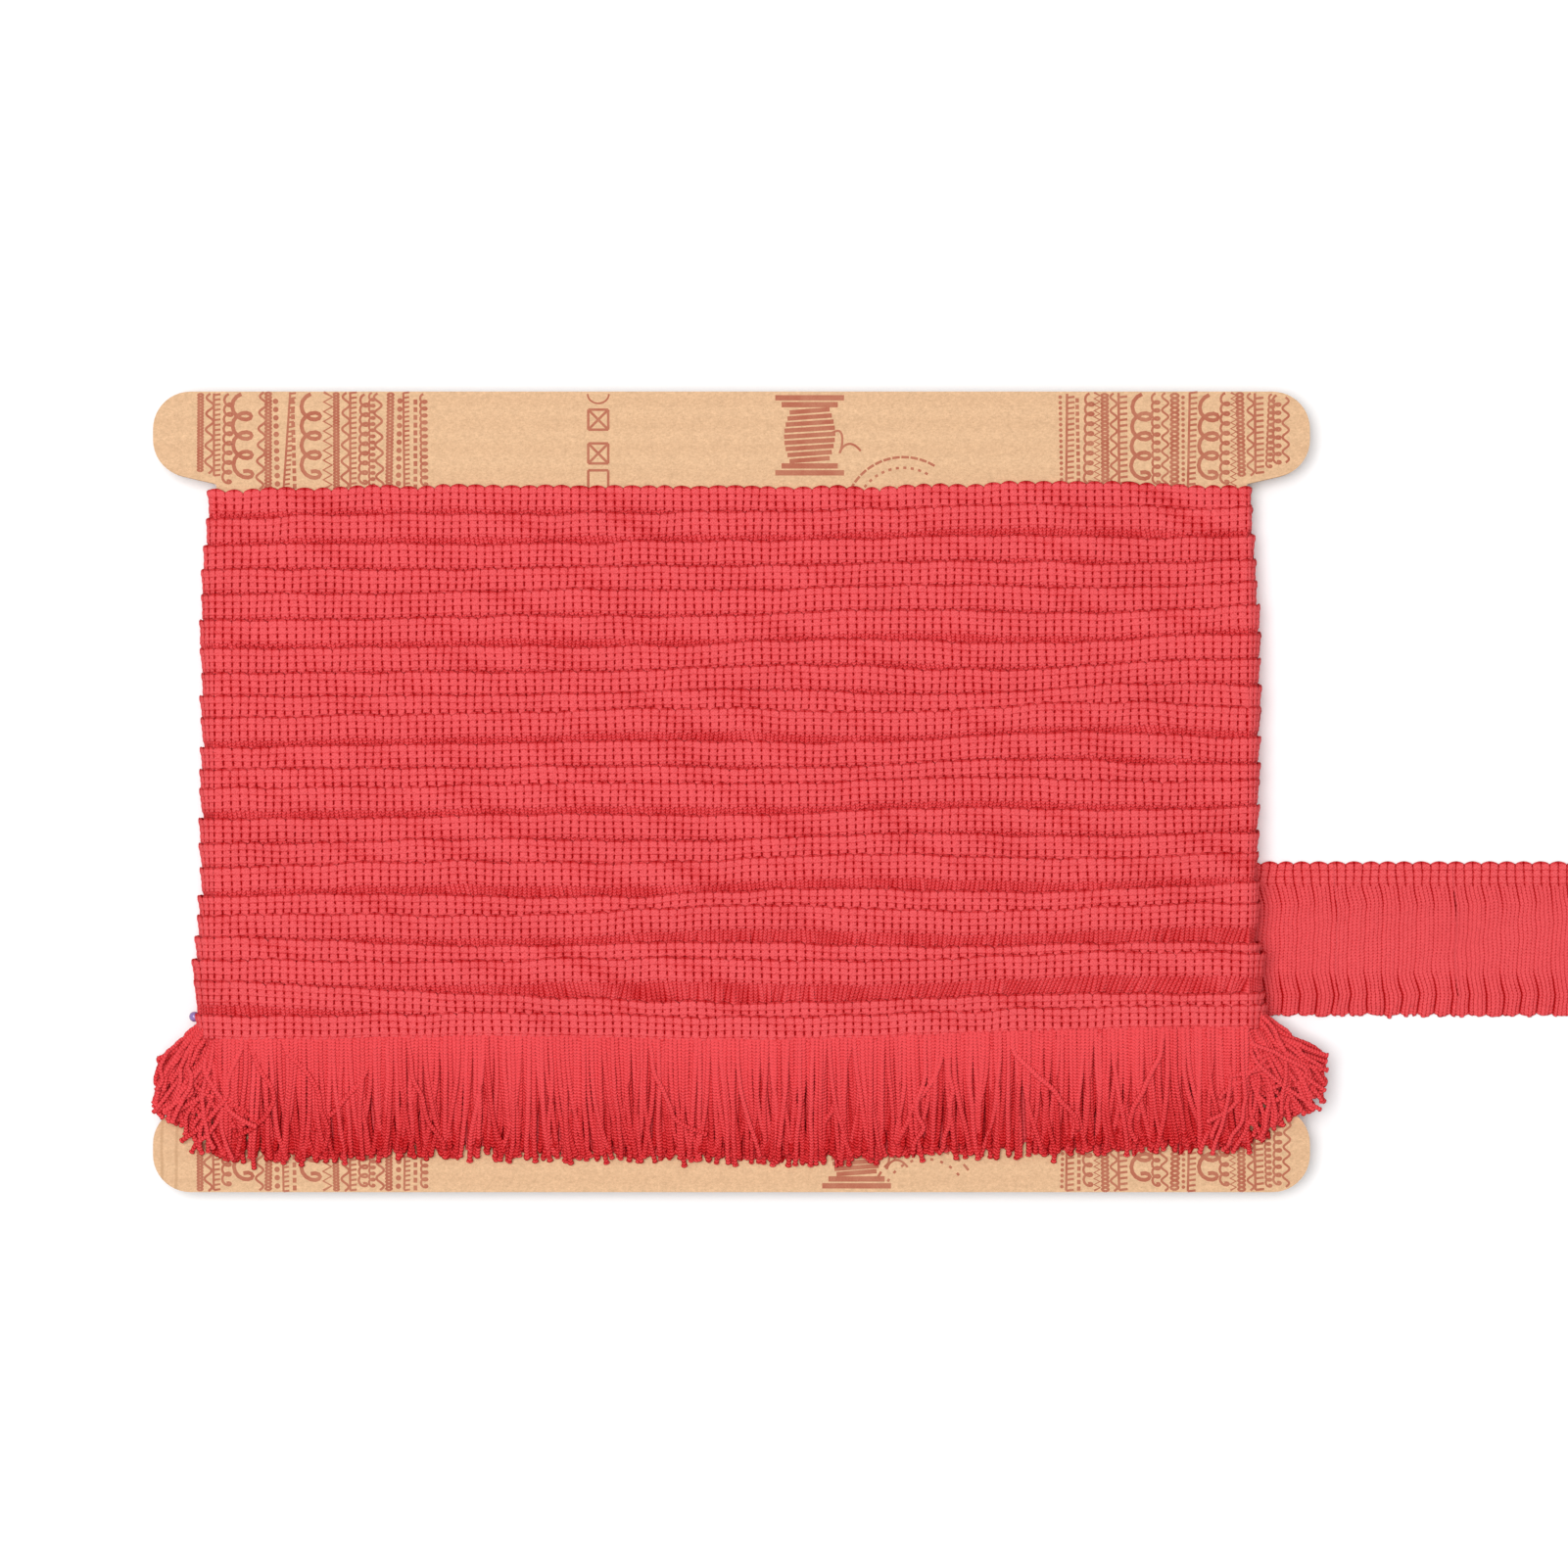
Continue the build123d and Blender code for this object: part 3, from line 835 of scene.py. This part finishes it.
def trim_looks(where):
    """Chain-stitched yarn with painted shade in its holes and gaps, and V stitches, fibres and sheen; the
    stitches are also painted lit and shaded.
    """
    ribs, drop = x_and_y(node(where.tree, "ShaderNodeUVMap", "UV", uv_map="Strip"))
    shade, reverse, gather, loose = (
        node(where.tree, "ShaderNodeAttribute", "Fac", attribute_name=field)
        for field in ("shade", "reverse", "gather", "loose")
    )
    fibre, patch, uneven = noise(where, 2600.0, 2.0), noise(where, 45.0, 3.0), noise(where, 420.0, 1.0)
    below = maths("GREATER_THAN", drop, HEADING)
    side = distance(maths("FRACT", ribs * CORDS_PER_RIB), 0.5)

    heading_dark = heading_painted_shade(ribs, drop, reverse, uneven + patch) * (1 - below)
    cord_dark = cord_painted_shade(ribs, side, gather, loose, uneven) * below
    stitches = stitch_wave(ribs, drop, side) * (below * 0.5 + 0.5)
    stitch_light = (loose + reverse) * 0.13 + 0.17
    # lit is painted light and shade: the relief's shade, less painted shade in holes, gaps and splits, with
    # the back a little lighter, the stitches lit and shaded, and fibres.
    lit = shade - (heading_dark + cord_dark) + reverse * 0.2 + stitches * stitch_light + (fibre - 0.55) * 1.1

    # The colour runs from the saturated red of painted shade, through the middle, to the lit crests.
    hollow = linear(RED_HOLLOW)
    colour = graded(lit, ((0.05, hollow), (0.6, linear(RED_MIDDLE)), (1.0, linear(RED_CREST))))
    colour = mix((patch - 0.45) * 0.25, colour, hollow)
    colour = mix(below, colour, (1.06, 0.93, 0.95, 1.0), "MULTIPLY")
    return {
        "Base Color": mix(loose, colour, (0.98, 0.82, 0.82, 1.0), "MULTIPLY"),
        "Roughness": fibre * 0.22 + 0.62,
        "Specular IOR Level": 0.06,
        "Sheen Weight": 0.04,
        "Sheen Roughness": 0.4,
        "Sheen Tint": linear(RED_SHEEN),
        "Normal": bumped(stitches * 0.8 + fibre * 1.6 - heading_dark * 1.5, 0.00022, 0.8),
    }


FLUTE_PITCH = 7.8
# The lower left lobe has a crease here, between two folds this far apart.
CREASE_X, CREASE_WIDTH = CARD_LOW[0] + 6.0, 4.6


def kraft_material(name, colour, washboard):
    """Recycled kraft paper with flecks, faint flute lines, and a crease in the lower left lobe with painted
    shade along its folds.
    """

    def looks(where):
        along = stretched(where, (0.7, 1.0, 1.0))
        cloud, grain = noise(along, 650.0, 6.0, 0.75), noise(along, 1700.0, 4.0, 0.75)
        specks = maths("GREATER_THAN", noise(where, 2300.0, 1.0), 0.69)
        x, y = x_and_y(where)
        flutes = maths("SINE", y * (TURN / (FLUTE_PITCH * MM)))
        from_crease = distance(x + noise(where, 90.0, 1.0) * (1.5 * MM), CREASE_X * MM)
        from_fold = distance(from_crease, CREASE_WIDTH * MM / 2)
        # Darker lines along the crease's two folds: the crushed board, with painted shade in the folds.
        fold = ramp_down(from_fold, 0.1 * MM, 0.8 * MM) * maths("LESS_THAN", y, SHOULDER_BOTTOM * MM)

        plain = linear(colour)
        base = mix((cloud - 0.25) * 1.3, tinted(plain, 0.78), tinted(plain, 1.12))
        speckle = graded(grain, ((0.36, (0.87, 0.86, 0.84, 1.0)), (0.64, (1.08, 1.09, 1.1, 1.0))))
        base = mix(1.0, base, speckle, "MULTIPLY")
        base = mix(specks * 0.35, base, linear(KRAFT_SPECK))
        base = mix((flutes + 1.0) * (0.05 * washboard), base, linear(KRAFT_STRIPE))
        return {
            "Base Color": mix(fold * 0.45, base, linear(KRAFT_FOLD_SHADE)),
            "Roughness": grain * 0.15 + 0.78,
            "Specular IOR Level": 0.25,
            "Normal": bumped(grain * 0.5 + flutes * (0.5 * washboard), 0.00012, 0.55),
        }

    return new_material(name, looks)


def ink_looks(where):
    """Thin flexo ink that lets some of the kraft through."""
    gaps, wear = noise(where, 1900.0, 3.0, 0.7), noise(where, 160.0, 2.0)
    colour = mix((gaps + (wear - 0.75)) * 0.38, linear(INK), linear(KRAFT))
    return {"Base Color": colour, "Roughness": gaps * 0.3 + 0.6, "Normal": bumped(gaps, 0.00005, 0.5)}


def steel_looks(where):
    """Drawn steel wire, with fine lines along it."""
    scratches = noise(stretched(where, (0.05, 1.0, 1.0)), 9000.0, 2.0)
    colour = mix(scratches, linear(STEEL_DARK), linear(STEEL_LIGHT))
    return {"Base Color": colour, "Metallic": 1.0, "Roughness": scratches * 0.2 + 0.16}


def pearl_looks(where):
    """A lilac pearl, its colour drifting with the view and in soft clouds."""
    cloud = noise(where, 700.0, 2.0)
    facing = node(where.tree, "ShaderNodeLayerWeight", "Facing", {"Blend": 0.35})
    colour = mix(facing, mix(cloud, linear(PEARL_BLUE), linear(PEARL_PINK)), linear(PEARL_RIM))
    return {"Base Color": colour, "Roughness": cloud * 0.1 + 0.14, "Coat Weight": 0.8, "Sheen Weight": 0.1}


def floor_looks(_):
    return {"Base Color": (0.975, 0.975, 0.98, 1), "Roughness": 0.9, "Specular IOR Level": 0.1}


# --- The print ---
# Heights above the card's front: where ink starts, and its top, which differs from piece to
# piece and rises along each ribbon, so that crossing pieces share no plane.
INK_START, INK_TOP, INK_STEP, INK_LEVELS, INK_SLOPE = 0.004, 0.02, 0.0011, 40, 0.03
DOT_SIDES = 10
LOBE_RADIUS, LOBE_SLOPE = 12.0, math.radians(13)
# Places from the card's middle. Of each block of columns: left, right and broad column.
PRINT_TOP, PRINT_SHOULDER = 127.8, 96.5
BLOCKS = ((-171, -97, -158), (104.5, 178, 128))
COLUMN_WIDTHS, BROAD_COLUMN, BROAD_PITCH = (2.2, 2.9, 2.5, 3.3), 7.2, 22
KINDS = "loops fringe wave braid zigzag loops dashes fringe dots braid wave loops".split()
FLANGES = ((1.0, 11.0), (3.2, 9.0))  # of a spool: distance in from each end, half width
SQUARE = ((-1, -1), (1, -1), (1, 1), (-1, 1))
SQUARES_X = -42.6


class Ink:
    """Thin closed ribbons and dots of ink on the card's front, collected as one mesh."""

    def __init__(self):
        self.points, self.faces = [], []
        self.pieces = 0

    def level(self):
        """The top of the next piece of ink."""
        self.pieces += 1
        return INK_TOP + INK_STEP * (self.pieces % INK_LEVELS)

    def join(self, rings):
        """Rings of points off the card's middle and above its front, joined up and closed."""
        base, sides = len(self.points), len(rings[0])
        self.points += [(CARD_X + x, CARD_Y + y, CARD_HIGH[2] + z) for ring in rings for x, y, z in ring]
        end = len(self.points) - sides
        for a in range(base, end, sides):
            b = a + sides
            self.faces += [(a + k, a + (k + 1) % sides, b + (k + 1) % sides, b + k) for k in range(sides)]
        self.faces += [tuple(range(base, base + sides))[::-1], tuple(range(end, end + sides))]

    def ribbon(self, path, width):
        """A closed thin ribbon along a path of (x, y) points."""
        path = np.asarray(path, float)
        forward = np.gradient(path, axis=0)
        forward /= np.linalg.norm(forward, axis=1, keepdims=True) + 1e-9
        side = np.stack([-forward[:, 1], forward[:, 0]], axis=1) * width / 2
        tops = self.level() + np.linspace(0, INK_SLOPE, len(path))
        rings = []
        for middle, across, top in zip(path, side, tops):
            corners = ((1, INK_START), (1, top), (-1, top), (-1, INK_START))
            rings.append([(*(middle + sign * across), z) for sign, z in corners])
        self.join(rings)

    def dot(self, x, y, radius):
        turns = [TURN * k / DOT_SIDES for k in range(DOT_SIDES)]
        circle = [(x + radius * math.cos(turn), y + radius * math.sin(turn)) for turn in turns]
        self.join([[(*place, z) for place in circle] for z in (INK_START, self.level())])


def motif_column(ink, kind, x, low, high, width, stroke):
    """One column of a trimming motif, leaning a little."""
    if kind == "loops":
        low, high = low + width * 0.42, high - width * 0.42
    count = max(2, round((high - low) / (width * 0.9)))
    along = np.linspace(0, 1, count * 12 + 1)
    y = low + along * (high - low)
    turn = along * count * TURN
    lean = rng.normal(0, 0.02)

    def put(xs, ys, thickness=stroke):
        ink.ribbon(np.stack([xs + lean * (np.array(ys) - low), ys], 1), thickness)

    if kind == "loops":
        put(x + width * 0.42 * np.sin(turn), y + width * 0.34 * np.cos(turn))
    elif kind == "wave":
        put(x + width * 0.4 * np.sin(turn / 2), y)
    elif kind == "zigzag":
        corners = np.arange(2 * count + 1)
        put(x + width * 0.42 * np.where(corners % 2, 1, -1), np.linspace(low, high, len(corners)))
    elif kind == "fringe":
        half = width * 0.42
        put([x - half, x - half], [low, high])
        for level in np.arange(low, high, stroke * 2.3):
            put([x - half, x + half], [level, level + stroke * 0.4], stroke * 0.95)
    elif kind == "dashes":
        for level in np.arange(low, high - width * 0.5, width * 0.85):
            put([x, x], [level, level + width * 0.55], stroke * 1.6)
    elif kind == "dots":
        for level in np.arange(low + width / 2, high - width * 0.3, width * 0.8):
            ink.dot(x + lean * (level - low), level, width * 0.27)
    elif kind == "braid":
        for phase in (0, math.pi):
            put(x + width * 0.38 * np.sin(turn + phase), y)


def lobe_insets(outer):
    """How far a column stops short of the lobe's outer edge and of its shoulder."""
    past = max(0.0, outer - (CARD_HIGH[0] - CARD_X - LOBE_RADIUS))
    inset = LOBE_RADIUS - math.sqrt(LOBE_RADIUS**2 - min(past, 0.97 * LOBE_RADIUS) ** 2)
    beside_waist = 4.0 if outer > HALF_FLAT - 1 else 0.0
    return inset, max(0.0, outer - HALF_FLAT) * math.tan(LOBE_SLOPE) + inset + beside_waist


def motif_block(ink, left, right, low, high, broad_at):
    """A block of motif columns of mixed widths, with two broad ones."""
    x, column = left, 0
    while x < right:
        width = COLUMN_WIDTHS[column % len(COLUMN_WIDTHS)]
        kind = KINDS[(column * 5 + round(left)) % len(KINDS)]
        if abs(x - broad_at) < 3 or abs(x - broad_at - BROAD_PITCH) < 2.2:
            width, kind = BROAD_COLUMN, "loops"
        outer_inset, shoulder_inset = lobe_insets(max(abs(x), abs(x + width)))
        insets = (shoulder_inset, outer_inset) if high > 0 else (outer_inset, shoulder_inset)
        start = low + insets[0] + rng.uniform(0, 0.5)
        end = high - insets[1] - rng.uniform(0, 0.5)
        if end - start > width:
            motif_column(ink, kind, x + width / 2, start, end, width, 0.4 + 0.12 * width)
        x += width + 0.1
        column += 1


def spool(ink, x, low, high):
    """A spool: flanges at its ends, thread wound between them and a loose end."""
    for end, inward in ((high, -1), (low, 1)):
        for inset, half in FLANGES:
            y = end + inward * inset
            ink.ribbon([(x - half, y), (x + half, y)], 1.7)
    for share in np.linspace(0, 1, 9):
        y = low + 5.2 + (high - low - 10.4) * share
        half = 6.4 + 1.8 * math.sin(math.pi * share)
        ink.ribbon([(x - half, y - 0.5), (x, y), (x + half, y + 0.5)], 1.4)
    share = np.linspace(0, 1, 40)
    loose_x = x + 6 + 9 * share + 2 * np.sin(share * 7)
    loose_y = (low + high) / 2 - 6 * share + 2.4 * np.sin(share * 9)
    ink.ribbon(np.stack([loose_x, loose_y], 1), 0.7)


def crossed_square(ink, x, y, size, crosses):
    corners = [(x + across * size / 2, y + up * size / 2) for across, up in SQUARE]
    lines = list(zip(corners, corners[1:] + corners[:1]))
    if crosses:
        lines += [(corners[0], corners[2]), (corners[3], corners[1])]
    for line in lines:
        ink.ribbon(line, 0.8)


def stitch_arc(ink, x, y, radius, start, end, count):
    """An arc of stitches with a dotted one inside it; its start and end are in degrees."""
    for turn in np.radians(np.linspace(start, end, count)):
        for ring, length in ((radius, 2.4), (radius - 3.4, 1.0)):
            cx, cy = x + ring * math.cos(turn), y + ring * math.sin(turn)
            dx, dy = -math.sin(turn) * length / 2, math.cos(turn) * length / 2
            ink.ribbon([(cx - dx, cy - dy), (cx + dx, cy + dy)], 0.8)


def make_print(material):
    """Generic trimming motifs, spools, arcs of stitches and squares on both lobes."""
    ink = Ink()
    for left, right, broad_at in BLOCKS:
        motif_block(ink, left, right, PRINT_SHOULDER, PRINT_TOP, broad_at)
        motif_block(ink, left, right, -PRINT_TOP, -PRINT_SHOULDER, broad_at)
    spool(ink, 25, 101, 127)
    stitch_arc(ink, 55, 88, 19, 150, 62, 11)
    for y, crosses in ((119, True), (108.2, True), (99.6, False)):
        crossed_square(ink, SQUARES_X, y, 6.4, crosses)
    ring = np.linspace(math.pi, TURN, 16)
    ink.ribbon(np.stack([SQUARES_X + 3.4 * np.cos(ring), 127.2 + 3.0 * np.sin(ring)], 1), 0.55)
    spool(ink, 40, -127, -103)
    stitch_arc(ink, 62, -131, 17, 150, 40, 9)
    piece = plain_mesh("card_print", (np.array(ink.points) * MM).tolist(), ink.faces)
    dress(piece, material, "bolt", [])


# --- Card, pin and stage ---
def paint(name, material):
    """Give a CAD node this material throughout."""
    piece = frame["nodes"][name]
    if not piece.material_slots:
        piece.data.materials.append(material)
    for slot in piece.material_slots:
        slot.material = material


def make_stage():
    """A plain pale floor just under the card."""
    reach, below = 6.0, 0.0003
    floor = plain_mesh("floor", [(reach * x, reach * y, 0) for x, y in SQUARE], [(0, 1, 2, 3)])
    floor.location.z = -below
    floor.data.materials.append(new_material("pale_floor", floor_looks))


def make_light():
    """Even white light from all round, and a broad soft key from above, a little to the left."""
    scene = bpy.context.scene
    scene.view_settings.view_transform = "Standard"
    scene.view_settings.look = "None"
    scene.world = bpy.data.worlds.new("studio")
    scene.world.use_nodes = True
    background = scene.world.node_tree.nodes["Background"]
    feed(background.inputs, {"Color": (1, 1, 1, 1), "Strength": 0.42})
    data = bpy.data.lights.new("key", "AREA")
    data.energy = 56
    data.size = 1.3
    light = placed("key", data)
    light.location = (-0.35, 0.2, 2.6)
    aim = Vector((CARD_X, CARD_Y, 0)) * MM - light.location
    light.rotation_mode = "QUATERNION"
    light.rotation_quaternion = aim.to_track_quat("-Z", "Y")


def make_camera():
    """Straight down over the card, a little right of its middle."""
    view_width, right, up, distance_up = 0.5014, 0.0168, 0.0025, 1.6
    data = bpy.data.cameras.new("camera")
    data.sensor_width = 36.0
    data.lens = data.sensor_width * distance_up / view_width
    camera = placed("camera", data)
    over = Vector((CARD_X, CARD_Y, CARD_HIGH[2])) * MM
    camera.location = over + Vector((right, up, distance_up))
    bpy.context.scene.camera = camera


# --- Build ---
paint("card_front_liner", kraft_material("kraft_front", KRAFT, 1.0))
paint("card_back_liner", kraft_material("kraft_back", KRAFT_BACK, 1.0))
paint("card_fluting", kraft_material("kraft_medium", KRAFT_MEDIUM, 0.0))
paint("pin_shank", new_material("pin_wire", steel_looks))
paint("pin_bead", new_material("pearl_bead", pearl_looks))
make_print(new_material("faded_ink", ink_looks))
trim = new_material("red_chainette", trim_looks)
for lap in range(1, LAPS + 1):
    make_lap(lap, trim)
make_tail(trim, make_run(trim))
make_skirt(trim)
make_corners(trim)
make_stage()
make_light()
make_camera()
